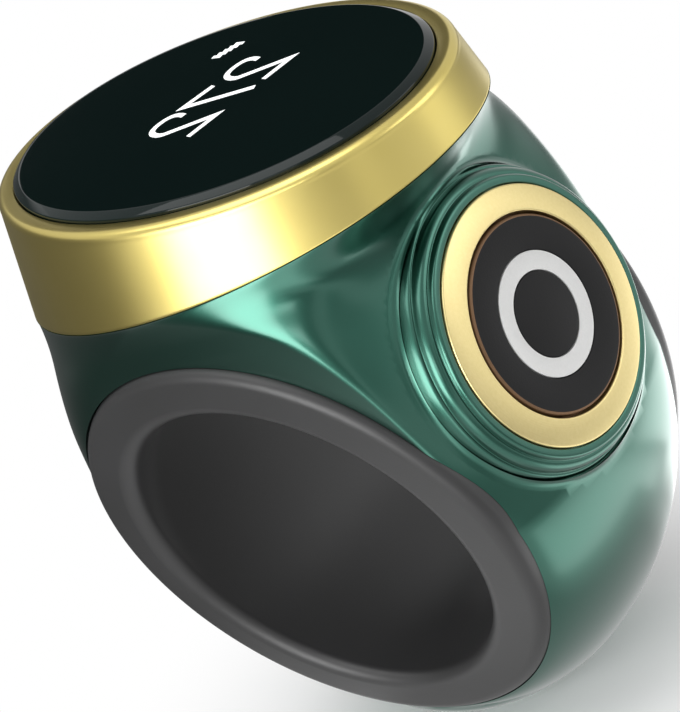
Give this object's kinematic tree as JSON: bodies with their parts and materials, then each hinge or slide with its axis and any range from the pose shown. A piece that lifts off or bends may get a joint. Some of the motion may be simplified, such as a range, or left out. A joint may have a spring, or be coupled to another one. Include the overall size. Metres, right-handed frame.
{
  "type": "digital finger counter",
  "caption": "Ring-shaped digital counter with an oval glass display on top, a round push button on one side and a soft finger liner.",
  "frame": {"origin": "centre of the finger hole, halfway along it", "axes": "+Y along the finger, +Z through the middle of the display, +X towards the push button"},
  "size_m": [0.0286, 0.0218, 0.0348],
  "materials": {
    "green_metal": "satin metallic green, anodised or lacquered",
    "gold_metal": "polished gold plate",
    "gold_satin": "fine satin gold plate",
    "dark_glass": "polished dark tinted glass",
    "silicone": "soft satin silicone",
    "black_plastic": "fine matte",
    "white_ink": "semi-matte white",
    "clear_film": "clear glossy film",
    "dark_panel": "glossy black display cell",
    "flex_ribbon": "amber polyimide film",
    "circuit_board": "green solder mask",
    "chip_body": "moulded epoxy",
    "steel": "plain",
    "foil_cell": "laminated foil pouch",
    "foam": "closed-cell foam"
  },
  "bodies": {
    "ring": {"shell": "green_metal", "bezel": "gold_metal", "cover_glass": "dark_glass", "glass_gasket": "silicone", "optical_film": "clear_film", "display_panel": "dark_panel", "display_flex": "flex_ribbon", "display_carrier": "black_plastic", "main_board": "circuit_board", "controller_chip": "chip_body", "memory_chip": "chip_body", "clock_crystal": "steel", "battery_pad": "foam", "battery": "foil_cell", "vibration_motor": "steel", "carrier_screw_1": "steel", "carrier_screw_2": "steel", "carrier_screw_3": "steel", "carrier_screw_4": "steel", "charge_block": "black_plastic", "charge_pin_1": "gold_metal", "charge_pin_2": "gold_metal", "finger_liner": "silicone", "button_trim_ring": "gold_satin", "button_cushion": "silicone", "switch_body": "steel", "switch_board": "circuit_board", "switch_flex": "flex_ribbon"},
    "button": {"button_cap": "black_plastic", "button_mark": "white_ink", "switch_plunger": "black_plastic"}
  },
  "joints": [
    {"name": "button_press", "type": "slide", "parent": "ring", "child": "button", "axis": [-0.9768, 0, -0.2143], "range_m": [0, 0.0004], "stiffness_N_per_m": 400, "springref_m": -0.0003}
  ]
}
